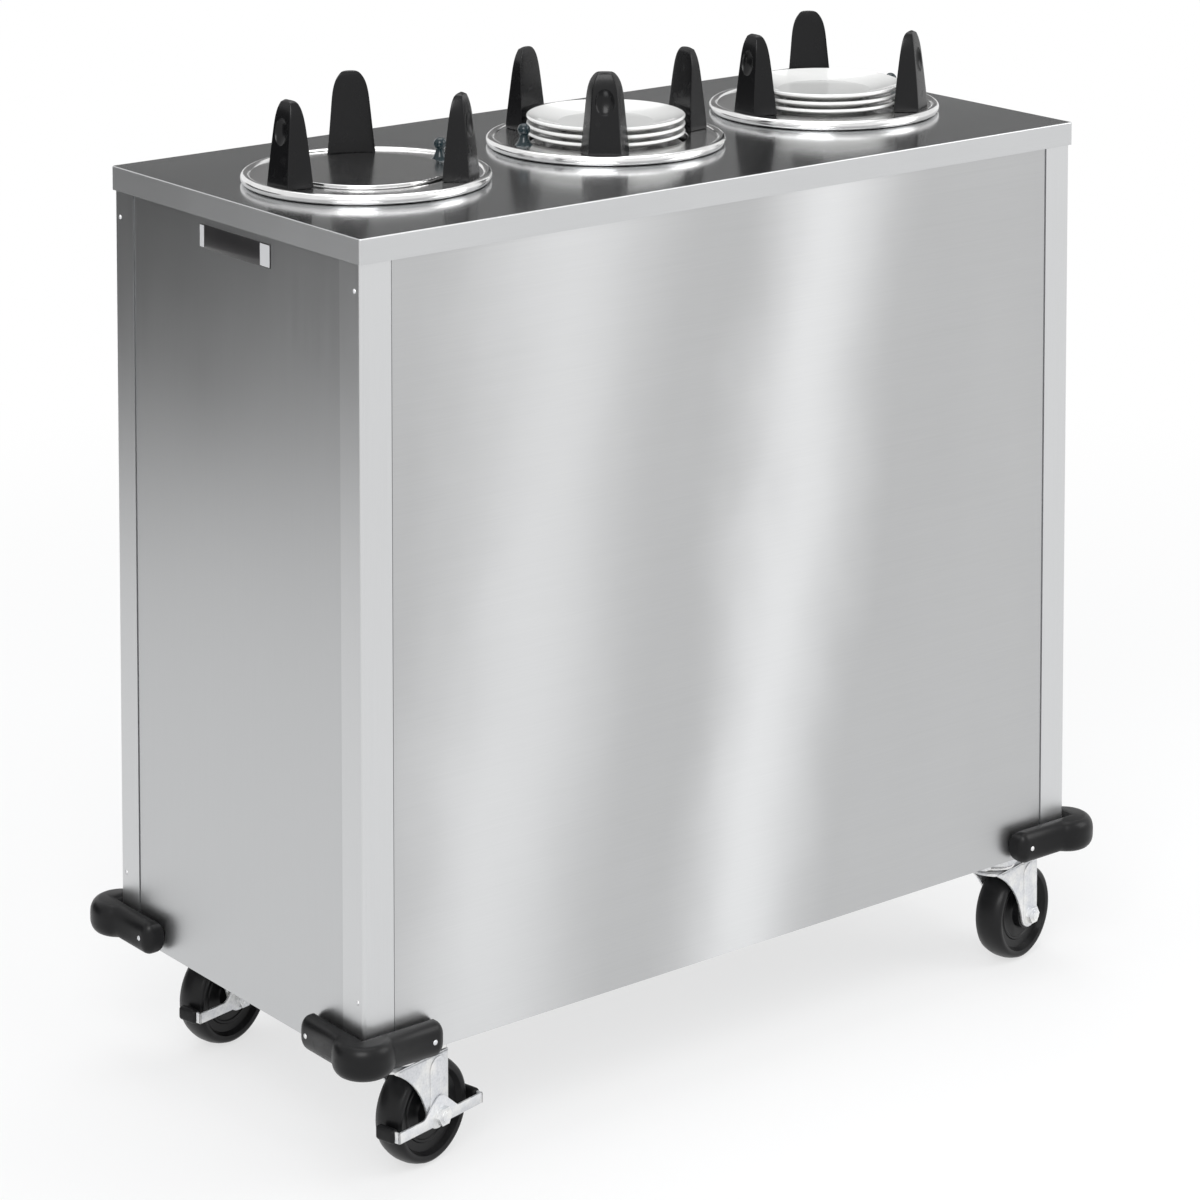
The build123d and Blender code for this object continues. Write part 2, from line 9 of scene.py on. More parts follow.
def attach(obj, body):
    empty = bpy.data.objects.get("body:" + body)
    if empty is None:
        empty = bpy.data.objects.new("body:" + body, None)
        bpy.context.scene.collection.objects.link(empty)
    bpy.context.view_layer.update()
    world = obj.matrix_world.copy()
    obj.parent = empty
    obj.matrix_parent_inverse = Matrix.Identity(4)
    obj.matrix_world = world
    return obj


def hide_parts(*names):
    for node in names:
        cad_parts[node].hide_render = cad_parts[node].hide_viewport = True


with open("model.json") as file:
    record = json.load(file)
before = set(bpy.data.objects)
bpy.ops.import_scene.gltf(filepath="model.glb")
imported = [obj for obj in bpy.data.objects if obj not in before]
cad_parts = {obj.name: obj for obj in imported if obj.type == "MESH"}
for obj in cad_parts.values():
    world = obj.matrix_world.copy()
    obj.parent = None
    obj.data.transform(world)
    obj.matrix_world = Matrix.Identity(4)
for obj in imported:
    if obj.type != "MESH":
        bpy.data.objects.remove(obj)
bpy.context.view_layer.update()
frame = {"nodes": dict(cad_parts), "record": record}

# Sizes in metres, in the frame of the CAD model: +Z up, X along the length, the long front faces -Y
body_length = 0.908
body_width = 0.426
body_low = 0.130
deck_z = 0.910
panel_recess = 0.001
half_l = body_length / 2
half_w = body_width / 2

# Dispensing units
unit_places = (-0.298, 0.0, 0.298)
unit_turns = (5.0, 171.0, -1.0)
guide_angles = (60.0, 180.0, 300.0)
flange_top = deck_z + 0.0075
guide_inner_r = 0.086
guide_foot_depth = 0.0250
guide_foot_width = 0.0498
guide_foot_sheet = 0.001
guide_back_share = 0.66
guide_edge = 0.0026
guide_tip_inset = 0.0022
guide_tip_rise = 0.0026
guide_sections = (
    # height, inner radius, depth, width
    (0.008, 0.0864, 0.0244, 0.0482),
    (0.030, 0.0878, 0.0208, 0.0438),
    (0.050, 0.0896, 0.0168, 0.0402),
    (0.064, 0.0910, 0.0138, 0.0376),
    (0.075, 0.0921, 0.0110, 0.0318),
    (0.0815, 0.0930, 0.0082, 0.0222),
)
hollow_radii = (0.0060, 0.0105, 0.0145)
hollow_place = (0.1082, 0, 0.054)
hollow_lean = -8

# Casters
caster_inset = (0.063, 0.041)
caster_trail = 0.037
caster_turn = 12.0
wheel_r = 0.051
corners = {"front_left": (-1, -1), "front_right": (1, -1), "rear_left": (-1, 1), "rear_right": (1, 1)}
braked = ("front_left", "rear_left")

# Badge plate on the left end, left bare
badge_length = 0.1205
badge_height = 0.0232
badge_sheet = 0.0012
badge_centre_y = -0.004
badge_centre_z = 0.8672
badge_bar_widths = (0.007, 0.016)
badge_bar_sheet = 0.0003
badge_bar_sink = 0.00003
badge_bar_margin = 0.001
badge_edge = 0.0003
badge_bar_edge = 0.0001

# Rivets on the ends of the posts
rivet_heights = (body_low + 0.062, deck_z - 0.050)
rivet_from_edge = 0.010
rivet_profile = ((0.00001, 0.0011), (0.0012, 0.0009), (0.0021, 0.0003), (0.0023, 0.0), (0.00001, 0.0))

# Corner bumpers
bumper_low = 0.1305
bumper_height = 0.033
bumper_thickness = 0.021
bumper_leg = 0.080
bumper_end_r = 0.0105
bumper_bulb_r = 0.030
bumper_bulb_out = 0.00125
bumper_roll = 0.0092
bumper_roll_height = 0.013
bumper_roll_steps = 6
bumper_screw_inset = 0.066
screw_profile = (
    (0.00001, 0.0008), (0.0012, 0.0007), (0.0021, 0.0004),
    (0.0026, -0.0001), (0.0030, -0.0012), (0.00001, -0.0012),
)

# Caster forks and foot brakes, made with the swivel axis on Z and the wheel trailing towards +X
crown_top = 0.111
fork_sheet = 0.003
fork_inside = 0.0195
fork_wing = 0.022
fork_eye_r = 0.014
fork_sweep_r = 0.086
fork_crown_r = 0.029
band_r = 0.012
band_rise = 0.0012
band_sink = 0.0004
leg_edge = 0.0007
band_edge = 0.0008
crown_edge = 0.0009
brake_half_length = 0.059
brake_sheet = 0.0025
brake_gap = 0.0003
brake_low = -0.0085
brake_bar = 0.0105
brake_hump_r = 0.0095
brake_hump_foot = 0.0235
brake_tab = 0.026
brake_edge = 0.0006
brake_hump_start = 48
brake_back = fork_inside + fork_sheet + band_rise + brake_gap
grip_size = (0.0085, 0.0235, brake_bar + 0.0035)
grip_edge = 0.0036
grip_back = 0.0085

# Wheels: half of the outline, as radius and half width
wheel_half_profile = (
    (0.0460, 0.0160), (0.0440, 0.0160), (0.0415, 0.0152), (0.0400, 0.0120), (0.0385, 0.0095),
    (0.0310, 0.0088), (0.0300, 0.0098), (0.0280, 0.0098), (0.0270, 0.0088), (0.0190, 0.0090),
    (0.0165, 0.0110), (0.0158, 0.0185), (0.0145, 0.0191), (0.0082, 0.0191),
)
wheel_shoulder = (0.0482, 0.0142)
wheel_tread = ((0.0500, 0.0090), (0.0509, 0.0045), (0.0510, 0.0), (0.0509, -0.0045), (0.0500, -0.0090))

# Painted reflection bands on the long panels, kept light in the colour where reflections would fall: where
# they stand, how wide they fade, and how far they lean with height
broad_painted_band = (-0.25, 0.17)
narrow_painted_band = (0.075, 0.13)
painted_band_lean = 0.16
painted_band_level = 0.6

# Camera, solved on the corners and rims in the photograph
camera_place = (-2.4556, -3.0901, 1.6849)
camera_tilt = 85.517
camera_heading = -38.387
camera_lens = 117.23
camera_sensor = 36.0
camera_shift = -0.7589


class Shade:
    """A value that varies over a surface; arithmetic on it adds Math nodes to its finish."""

    def __init__(self, finish, socket):
        self.finish = finish
        self.socket = socket

    def math(self, operation, *values):
        return self.finish.node("Math", {"operation": operation}, dict(enumerate(values)))

    def __add__(self, other):
        return self.math("ADD", self, other)

    def __radd__(self, other):
        return self.math("ADD", other, self)

    def __sub__(self, other):
        return self.math("SUBTRACT", self, other)

    def __rsub__(self, other):
        return self.math("SUBTRACT", other, self)

    def __mul__(self, other):
        return self.math("MULTIPLY", self, other)

    def __rmul__(self, other):
        return self.math("MULTIPLY", other, self)

    def sine(self):
        return self.math("SINE", self)

    def size(self):
        return self.math("ABSOLUTE", self)

    def ramp(self, low, high, start=0.0, end=1.0):
        """Runs smoothly from start to end while the value goes from low to high."""
        ends = {"Value": self, "From Min": low, "From Max": high, "To Min": start, "To Max": end}
        return self.finish.node("MapRange", {"interpolation_type": "SMOOTHSTEP"}, ends)


class Finish:
    """A material with one Principled surface, wired by short calls."""

    def __init__(self, name, **constants):
        self.material = bpy.data.materials.new(name)
        self.material.use_nodes = True
        tree = self.material.node_tree
        self.nodes = tree.nodes
        self.links = tree.links
        self.surface = next(n for n in self.nodes if n.type == "BSDF_PRINCIPLED")
        for socket, value in constants.items():
            self.surface.inputs[socket.replace("_", " ").title()].default_value = value

    def node(self, kind, settings=None, inputs=None, output=0):
        made = self.nodes.new(f"ShaderNode{kind}")
        for name, value in (settings or {}).items():
            setattr(made, name, value)
        open_inputs = [s for s in made.inputs if s.enabled]
        for key, value in (inputs or {}).items():
            named = [s for s in open_inputs if s.name == key]
            self.plug(named[0] if named else open_inputs[key], value)
        open_outputs = [s for s in made.outputs if s.enabled]
        found = open_outputs[output] if isinstance(output, int) else made.outputs[output]
        return Shade(self, found)

    def plug(self, socket, value):
        if isinstance(value, Shade):
            self.links.new(value.socket, socket)
        elif isinstance(value, tuple) and socket.type == "RGBA":
            socket.default_value = (*value, 1.0)
        else:
            socket.default_value = value

    def feed(self, **values):
        for socket, value in values.items():
            self.plug(self.surface.inputs[socket.replace("_", " ").title()], value)
        return self

    def place(self):
        return self.node("TexCoord", output="Object")

    def along(self, axis):
        return self.node("SeparateXYZ", None, {0: self.place()}, "XYZ".index(axis))

    def noise(self, scale, stretch=(1, 1, 1), detail=3.0, rough=0.5):
        at = self.node("Mapping", None, {"Vector": self.place(), "Scale": stretch})
        settings = {"Vector": at, "Scale": scale, "Detail": detail, "Roughness": rough}
        return self.node("TexNoise", None, settings)

    def cells(self, scale, output=0):
        return self.node("TexVoronoi", None, {"Vector": self.place(), "Scale": scale}, output)

    def mix(self, amount, first, second):
        return self.node("Mix", {"data_type": "RGBA"}, {0: amount, 1: first, 2: second})

    def worn_edge(self, width):
        """1 on the sharp edges and 0 elsewhere, from the bevelled normal."""
        smooth = self.node("Bevel", None, {"Radius": width})
        flat = self.node("NewGeometry", output="Normal")
        match = self.node("VectorMath", {"operation": "DOT_PRODUCT"}, {0: smooth, 1: flat}, "Value")
        return (1 - match).ramp(0.02, 0.25)

    def relief(self, height, distance, strength=1.0):
        bump = self.node("Bump", None, {"Strength": strength, "Distance": distance, "Height": height})
        return self.feed(Normal=bump)


def grey(level, warmth=0.0):
    return (level + warmth, level, level - warmth)


# Metals

def brushed_sheet(name, level, grain, painted_band_depth=0.0, rough=0.30, edge_rough=0.0):
    """Brushed stainless sheet: fine grain along one axis, faint smears, and, given a band depth, painted
    reflection bands: the colour is darkened outside two soft upright bands.
    """
    finish = Finish(name, metallic=1.0)
    stretch = {"X": (2, 260, 260), "Z": (260, 260, 2)}[grain]
    line = finish.noise(3.0, stretch, 5.0, 0.7)
    fine = finish.noise(9.0, stretch, 2.0, 0.8)
    smear = finish.noise(5.0, (1, 1, 0.6), 3.0, 0.55)
    tone = 0.90 + 0.07 * line + 0.05 * fine + 0.06 * smear
    # Painted reflection: the colour stays light in two soft bands that lean with height and is darkened
    # outside them.
    if painted_band_depth:
        lean = painted_band_lean * (finish.along("Z") - painted_band_level)
        across = finish.along("X") - lean + 0.10 * (smear - 0.5)
        bands = (broad_painted_band, narrow_painted_band)
        broad, narrow = ((across - x).size().ramp(0.0, fade, 1.0, 0.0) for x, fade in bands)
        tone = tone - painted_band_depth * (1.0 - 0.75 * broad - narrow)
    colour = finish.mix(tone, grey(0.0), grey(level, -0.006))
    facing = finish.node("NewGeometry", output="Normal")
    level_face = finish.node("SeparateXYZ", None, {0: facing}, 2).size()
    dull = level_face.ramp(0.3, 0.8, edge_rough, 0.0)
    finish.feed(Base_Color=colour, Roughness=rough - 0.05 + 0.12 * line + 0.08 * smear + dull)
    return finish.relief(line + 0.4 * fine, 0.00002, 0.3)


def zinc_plate():
    """Bright zinc plate: crystalline patches, small stains and rubbed edges."""
    finish = Finish("zinc_plate", metallic=1.0)
    patch = finish.cells(420.0)
    stain = finish.noise(60.0, detail=5.0)
    edge = finish.worn_edge(0.0012)
    colour = finish.mix(stain.ramp(0.4, 0.7), (0.70, 0.71, 0.73), (0.83, 0.83, 0.82))
    colour = finish.mix(edge, colour, (0.93, 0.93, 0.92))
    finish.feed(Base_Color=colour, Roughness=0.24 + 0.14 * patch * 4.0 + 0.1 * stain)
    return finish.relief(patch, 0.00008, 0.25)


def bright_metal(name, level, rough):
    """Rolled or ground bright metal with fine turning lines and faint smudges."""
    finish = Finish(name, metallic=1.0)
    smudge = finish.noise(38.0, detail=4.0)
    scratch = finish.noise(14.0, (30, 30, 600), 3.0, 0.7)
    edge = finish.worn_edge(0.0008)
    colour = finish.mix(smudge.ramp(0.35, 0.75), grey(level), grey(level * 0.88, 0.004))
    colour = finish.mix(edge * 0.5, colour, grey(min(1.0, level * 1.12)))
    finish.feed(Base_Color=colour, Roughness=rough + 0.08 * smudge + 0.05 * scratch)
    return finish.relief(scratch, 0.00003, 0.3)


def spring_wire():
    """Close-wound wire: the turns show as fine ridges round the coil, with painted shade in the grooves
    between turns and a painted highlight on their crowns.
    """
    finish = Finish("spring_steel", metallic=1.0)
    turn = (finish.along("Z") * (2 * pi / 0.0016)).sine() * 0.5 + 0.5
    oil = finish.noise(50.0)
    # Painted shade and highlight: the colour runs dark between the turns and light on their crowns.
    colour = finish.mix(turn, grey(0.12), grey(0.48))
    colour = finish.mix(oil * 0.4, colour, (0.30, 0.27, 0.22))
    finish.feed(Base_Color=colour, Roughness=0.28 + 0.15 * oil)
    return finish.relief(turn, 0.0005, 0.9)


def galvanised():
    """Zinc-coated sheet with its flower pattern."""
    finish = Finish("galvanised_steel", metallic=1.0)
    flower = finish.cells(55.0, "Color")
    shade = finish.node("SeparateColor", None, {0: flower}, 0)
    dust = finish.noise(30.0)
    colour = finish.mix(shade, (0.47, 0.49, 0.51), (0.64, 0.65, 0.66))
    colour = finish.mix(dust * 0.3, colour, (0.42, 0.41, 0.39))
    finish.feed(Base_Color=colour, Roughness=0.34 + 0.22 * shade)
    return finish.relief(dust, 0.0001, 0.2)


# Plastics, rubber and ware

def moulded(name, colour, rough, coat, grain, depth, shine=0.5):
    """Moulded plastic or rubber: a fine skin, faint flow marks and paler rubbed edges."""
    finish = Finish(name, coat_roughness=0.12)
    finish.surface.inputs["Specular IOR Level"].default_value = shine
    skin = finish.noise(grain, detail=4.0)
    flow = finish.noise(22.0, (1, 1, 0.4), 3.0)
    dust = finish.noise(90.0, detail=6.0).ramp(0.58, 0.72)
    edge = finish.worn_edge(0.0016)
    rubbed = tuple(min(1.0, c * 1.5 + 0.008) for c in colour)
    dusty = tuple(c * 0.95 + 0.003 for c in colour)
    base = finish.mix(edge * 0.55, finish.mix(dust * 0.5, colour, dusty), rubbed)
    finish.feed(Base_Color=base, Coat_Weight=coat * (1 - dust * 0.6))
    finish.feed(Roughness=rough - 0.04 + 0.1 * flow + 0.1 * dust)
    return finish.relief(skin + 0.6 * flow, depth, 0.5)


def glazed_ware():
    """White glazed ware: a glassy coat over a faintly warm body, with a few iron specks."""
    finish = Finish("glazed_ware", coat_roughness=0.04)
    pool = finish.noise(18.0)
    speck = finish.cells(330.0).ramp(0.0, 0.10, 1.0, 0.0)
    few = finish.noise(45.0).ramp(0.66, 0.70)
    colour = finish.mix(pool, (0.86, 0.86, 0.845), (0.80, 0.80, 0.79))
    colour = finish.mix(speck * few * 0.5, colour, (0.35, 0.30, 0.24))
    finish.feed(Base_Color=colour, Roughness=0.16 + 0.08 * pool, Coat_Weight=0.7 + 0.2 * pool)
    return finish.relief(pool, 0.0006, 0.15)


def enamel(name, colour):
    """Painted badge sheet: a flat enamel with orange peel and thin rubbed edges."""
    finish = Finish(name, coat_roughness=0.08)
    peel = finish.noise(900.0, detail=2.0)
    cloud = finish.noise(70.0)
    rubbed = tuple(min(1.0, c * 1.3 + 0.05) for c in colour)
    base = finish.mix(finish.worn_edge(0.0006) * 0.5, colour, rubbed)
    base = finish.mix(cloud * 0.25, base, tuple(c * 0.8 for c in colour))
    finish.feed(Base_Color=base, Roughness=0.28 + 0.1 * cloud, Coat_Weight=0.3 + 0.1 * cloud)
    return finish.relief(peel, 0.00004, 0.3)


def floor_finish():
    """A pale studio floor that reads as white and still takes the shadow."""
    finish = Finish("studio_floor", roughness=0.9)
    cloud = finish.noise(1.3, detail=2.0)
    colour = finish.mix(cloud, grey(0.86), grey(0.90))
    finish.feed(Base_Color=colour, Roughness=0.85 + 0.1 * cloud)
    ray = finish.nodes.new("ShaderNodeLightPath")
    seen = Shade(finish, ray.outputs["Is Camera Ray"]) + Shade(finish, ray.outputs["Is Glossy Ray"])
    glow = finish.node("Emission", None, {"Color": grey(1.0), "Strength": 1.0})
    body = Shade(finish, finish.surface.outputs[0])
    far = finish.node("VectorMath", {"operation": "LENGTH"}, {0: finish.place()}, "Value")
    share = seen * far.ramp(0.9, 2.6, 0.66, 1.0)
    both = finish.node("MixShader", None, {0: share, 1: body, 2: glow})
    output = next(n for n in finish.nodes if n.type == "OUTPUT_MATERIAL")
    finish.links.new(both.socket, output.inputs["Surface"])
    return finish


finishes = {
    "brushed_deck": brushed_sheet("brushed_deck", 0.56, "X", rough=0.10, edge_rough=0.30),
    # The front and rear sheet carries painted reflection bands in its colour.
    "front_sheet": brushed_sheet("front_sheet", 0.76, "X", painted_band_depth=0.34, rough=0.28),
    "end_sheet": brushed_sheet("end_sheet", 0.56, "Z", rough=0.28),
    "post_sheet": brushed_sheet("post_sheet", 0.64, "Z", rough=0.28),
    "galvanised_steel": galvanised(),
    "polished_rim": bright_metal("polished_rim", 0.80, 0.12),
    "carrier_steel": bright_metal("carrier_steel", 0.66, 0.10),
    "bright_rod": bright_metal("bright_rod", 0.80, 0.14),
    "spring_steel": spring_wire(),
    "bearing_steel": bright_metal("bearing_steel", 0.75, 0.10),
    "zinc_plate": zinc_plate(),
    "guide_plastic": moulded("guide_plastic", (0.004, 0.004, 0.0045), 0.24, 0.06, 700.0, 0.00003, 0.22),
    "knob_plastic": moulded("knob_plastic", (0.003, 0.014, 0.019), 0.16, 0.25, 900.0, 0.00002, 0.3),
    "bush_plastic": moulded("bush_plastic", (0.78, 0.77, 0.72), 0.45, 0.0, 800.0, 0.00004),
    "bumper_rubber": moulded("bumper_rubber", (0.005, 0.005, 0.0055), 0.36, 0.04, 600.0, 0.00006, 0.22),
    "grip_rubber": moulded("grip_rubber", (0.006, 0.006, 0.0065), 0.50, 0.0, 800.0, 0.00008, 0.25),
    "wheel_plastic": moulded("wheel_plastic", (0.006, 0.006, 0.0065), 0.36, 0.03, 700.0, 0.00005, 0.25),
    "glazed_ware": glazed_ware(),
}
badge_dark = enamel("badge_dark", (0.016, 0.015, 0.016))
badge_pale = enamel("badge_pale", (0.62, 0.62, 0.63))

slot_of = {row["node"]: row["material_slot"] for row in frame["record"]["subparts"]}
own_finish = {
    "front_panel": "front_sheet",
    "rear_panel": "front_sheet",
    "left_panel": "end_sheet",
    "right_panel": "end_sheet",
}
for name, shape in frame["nodes"].items():
    key = own_finish.get(name, slot_of[name])
    key = "post_sheet" if key == "brushed_steel" else key
    shape.data.materials.clear()
    shape.data.materials.append(finishes[key].material)


# Modelling steps

def start_edit(shape):
    bpy.ops.object.select_all(action="DESELECT")
    shape.select_set(True)
    bpy.context.view_layer.objects.active = shape
    bpy.ops.object.mode_set(mode="EDIT")
    bpy.ops.mesh.select_all(action="DESELECT")


def end_edit():
    bpy.ops.object.mode_set(mode="OBJECT")


def pick(shape, test, kind="VERT"):
    """Selects the vertices, edges or faces whose middle passes a test, and nothing else."""
    bpy.ops.mesh.select_mode(type=kind)
    bpy.ops.mesh.select_all(action="DESELECT")
    mesh = bmesh.from_edit_mesh(shape.data)
    if kind == "FACE":
        for face in mesh.faces:
            face.select_set(test(face.calc_center_median()))
    elif kind == "EDGE":
        for edge in mesh.edges:
            edge.select_set(test((edge.verts[0].co + edge.verts[1].co) / 2))
    else:
        for vertex in mesh.verts:
            vertex.select_set(test(vertex.co))
    mesh.select_flush_mode()
    bmesh.update_edit_mesh(shape.data)


def new_block(name, size, centre):
    bpy.ops.object.select_all(action="DESELECT")
    bpy.ops.mesh.primitive_cube_add(size=1, location=centre)
    block = bpy.context.object
    block.name = name
    block.scale = size
    bpy.ops.object.transform_apply(location=True, rotation=True, scale=True)
    return block


def new_ball(name, radii):
    bpy.ops.object.select_all(action="DESELECT")
    bpy.ops.mesh.primitive_uv_sphere_add(segments=48, ring_count=32, radius=1)
    ball = bpy.context.object
    ball.name = name
    ball.scale = radii
    bpy.ops.object.transform_apply(location=True, rotation=True, scale=True)
    return ball


def cut_away(shape, tool):
    """Cuts a tool out of a shape, and the tool is gone afterwards."""
    cut = shape.modifiers.new("cut", "BOOLEAN")
    cut.operation = "DIFFERENCE"
    cut.solver = "EXACT"
    cut.object = tool
    apply_all(shape)
    removed(tool)


def soften(shape, width, segments=3, limit=35):
    bevel = shape.modifiers.new("edges", "BEVEL")
    bevel.width = width
    bevel.segments = segments
    bevel.limit_method = "ANGLE"
    bevel.angle_limit = radians(limit)
    apply_all(shape)


def smooth(shape, levels):
    step = shape.modifiers.new("smooth", "SUBSURF")
    step.levels = levels
    step.render_levels = levels
    apply_all(shape)


def apply_all(shape):
    bpy.ops.object.select_all(action="DESELECT")
    shape.select_set(True)
    bpy.context.view_layer.objects.active = shape
    for step in list(shape.modifiers):
        bpy.ops.object.modifier_apply(modifier=step.name)


def shade(shape, angle=35):
    bpy.ops.object.select_all(action="DESELECT")
    shape.select_set(True)
    bpy.context.view_layer.objects.active = shape
    bpy.ops.object.shade_smooth_by_angle(angle=radians(angle))


def move(shape, matrix):
    """Puts a finished shape in place through its own mesh."""
    shape.data.transform(matrix)
    shape.matrix_world = Matrix.Identity(4)
    if matrix.determinant() < 0:
        shape.data.flip_normals()
    return shape


def copied(shape, name, matrix):
    """A copy with its own mesh, carried by a matrix."""
    twin = shape.copy()
    twin.data = shape.data.copy()
    twin.name = name
    bpy.context.scene.collection.objects.link(twin)
    return move(twin, matrix)


def dress(shape, finish, body, slot, *stands_for):
    shape.data.materials.clear()
    shape.data.materials.append(finish.material)
    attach(shape, body)
    if stands_for:
        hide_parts(*stands_for)
    return shape


def joined(name, shapes):
    bpy.ops.object.select_all(action="DESELECT")
    for shape in shapes:
        shape.select_set(True)
    bpy.context.view_layer.objects.active = shapes[0]
    bpy.ops.object.join()
    shapes[0].name = name
    return shapes[0]


def removed(shape):
    bpy.data.objects.remove(shape)


def turned(name, profile, steps=72):
    """Spins an outline of (radius, height) pairs round the Z axis into a closed form."""
    bpy.ops.object.select_all(action="DESELECT")
    bpy.ops.mesh.primitive_plane_add(size=0.001)
    form = bpy.context.object
    form.name = name
    start_edit(form)
    bpy.ops.mesh.select_all(action="SELECT")
    bpy.ops.mesh.delete(type="VERT")
    mesh = bmesh.from_edit_mesh(form.data)
    points = [mesh.verts.new((r, 0, z)) for r, z in profile]
    for first, second in zip(points, points[1:] + points[:1]):
        mesh.edges.new((first, second))
    bmesh.update_edit_mesh(form.data)
    bpy.ops.mesh.select_all(action="SELECT")
    bpy.ops.mesh.spin(steps=steps, angle=2 * pi, center=(0, 0, 0), axis=(0, 0, 1))
    bpy.ops.mesh.select_all(action="SELECT")
    bpy.ops.mesh.remove_doubles(threshold=0.00001)
    bpy.ops.mesh.normals_make_consistent(inside=False)
    end_edit()
    return form


def arc(centre, radius, start, end, steps):
    """Points on an arc, with angles in radians."""
    turns = [start + (end - start) * i / steps for i in range(steps + 1)]
    return [(centre[0] + radius * cos(t), centre[1] + radius * sin(t)) for t in turns]


def sheet_form(name, outline, thickness):
    """A flat sheet of an outline in X and Y, standing up from z = 0."""
    bpy.ops.object.select_all(action="DESELECT")
    bpy.ops.mesh.primitive_plane_add(size=0.001)
    form = bpy.context.object
    form.name = name
    start_edit(form)
    bpy.ops.mesh.select_all(action="SELECT")
    bpy.ops.mesh.delete(type="VERT")
    mesh = bmesh.from_edit_mesh(form.data)
    mesh.faces.new([mesh.verts.new((x, y, 0)) for x, y in outline])
    bmesh.update_edit_mesh(form.data)
    bpy.ops.mesh.select_all(action="SELECT")
    bpy.ops.mesh.remove_doubles(threshold=0.00001)
    bpy.ops.mesh.select_all(action="SELECT")
    bpy.ops.mesh.extrude_region_move(TRANSFORM_OT_translate={"value": (0, 0, thickness)})
    bpy.ops.mesh.select_all(action="SELECT")
    bpy.ops.mesh.normals_make_consistent(inside=False)
    end_edit()
    return form


# Corner bumpers

def bumper_outline():
    """The guard from above at the +X +Y corner: two arms along the body and a round bulb at the corner."""
    t, leg, end = bumper_thickness, bumper_leg, bumper_end_r
    centre = (bumper_bulb_out, bumper_bulb_out)
    leave = asin((t - bumper_bulb_out) / bumper_bulb_r)
    outline = [(0, 0), (0, -leg)]
    outline += arc((t - end, -leg + end), end, -pi / 2, 0, 6)
    outline += arc(centre, bumper_bulb_r, leave - pi / 2, pi - leave, 22)
    outline += arc((-leg + end, t - end), end, pi / 2, pi, 6)
    return outline + [(-leg, 0)]


def one_bumper():
    """A fat moulded guard: its top and bottom edges are rolled over in small steps."""
    straight = bumper_height - 2 * bumper_roll_height
    guard = sheet_form("bumper_form", bumper_outline(), straight)
    move(guard, Matrix.Translation((0, 0, bumper_roll_height)))
    for side in (-1, 1):
        start_edit(guard)
        level = bumper_height / 2 + side * straight / 2
        pick(guard, lambda c: abs(c.z - level) < 0.00001, "FACE")
        for step in range(bumper_roll_steps):
            turn, after = (pi / 2 * k / bumper_roll_steps for k in (step, step + 1))
            inward = bumper_roll * (cos(turn) - cos(after))
            outward = bumper_roll_height * (sin(after) - sin(turn))
            bpy.ops.mesh.inset(thickness=inward, depth=outward)
        end_edit()
    shade(guard, 50)
    return guard


def screw_head():
    """A small domed head, pressed a little into the rubber."""
    head = turned("screw_head", screw_profile, 24)
    shade(head, 40)
    return head


def bumpers():
    """One guard on each corner of the body, and two screws in each guard."""
    form = one_bumper()
    screws = []
    for name, (side_x, side_y) in corners.items():
        spot = Matrix.Translation((side_x * half_l, side_y * half_w, bumper_low))
        flip = Matrix.Diagonal((side_x, side_y, 1, 1))
        guard = copied(form, f"corner_guard_{name}", spot @ flip)
        dress(guard, finishes["bumper_rubber"], "cabinet", "bumper_rubber", f"bumper_{name}")
        along = ((-bumper_screw_inset, bumper_thickness), -pi / 2, "X")
        across = ((bumper_thickness, -bumper_screw_inset), pi / 2, "Y")
        for place, turn, axis in (along, across):
            at = Matrix.Translation((*place, bumper_height / 2)) @ Matrix.Rotation(turn, 4, axis)
            screws.append(move(screw_head(), spot @ flip @ at))
    whole = joined("guard_screws", screws)
    dress(whole, finishes["zinc_plate"], "cabinet", "zinc_plate", "bumper_screws")
    removed(form)


# Forks and foot brakes

def fork_outline():
    """A leg from the side, as X and height: an upright rear edge, a round eye and a swept forward edge."""
    eye = Vector((caster_trail, wheel_r))
    wing = Vector((-fork_wing, crown_top - fork_sheet))
    span = eye - wing
    reach = fork_sweep_r + fork_eye_r
    along = (fork_sweep_r**2 - reach**2 + span.length**2) / (2 * span.length)
    off = (fork_sweep_r**2 - along**2) ** 0.5
    unit = span.normalized()
    centre = wing + unit * along + Vector((unit.y, -unit.x)) * off
    touch = eye + (centre - eye).normalized() * fork_eye_r
    start = atan2(touch.y - centre.y, touch.x - centre.x)
    end = atan2(wing.y - centre.y, wing.x - centre.x)
    low_start = atan2(centre.y - eye.y, centre.x - eye.x)
    sweep = arc(centre, fork_sweep_r, start, end, 14)
    round_eye = arc(eye, fork_eye_r, 0.0, low_start, 12)
    rear = caster_trail + fork_eye_r
    return [(rear, crown_top)] + round_eye + sweep[1:] + [(-fork_wing, crown_top)]


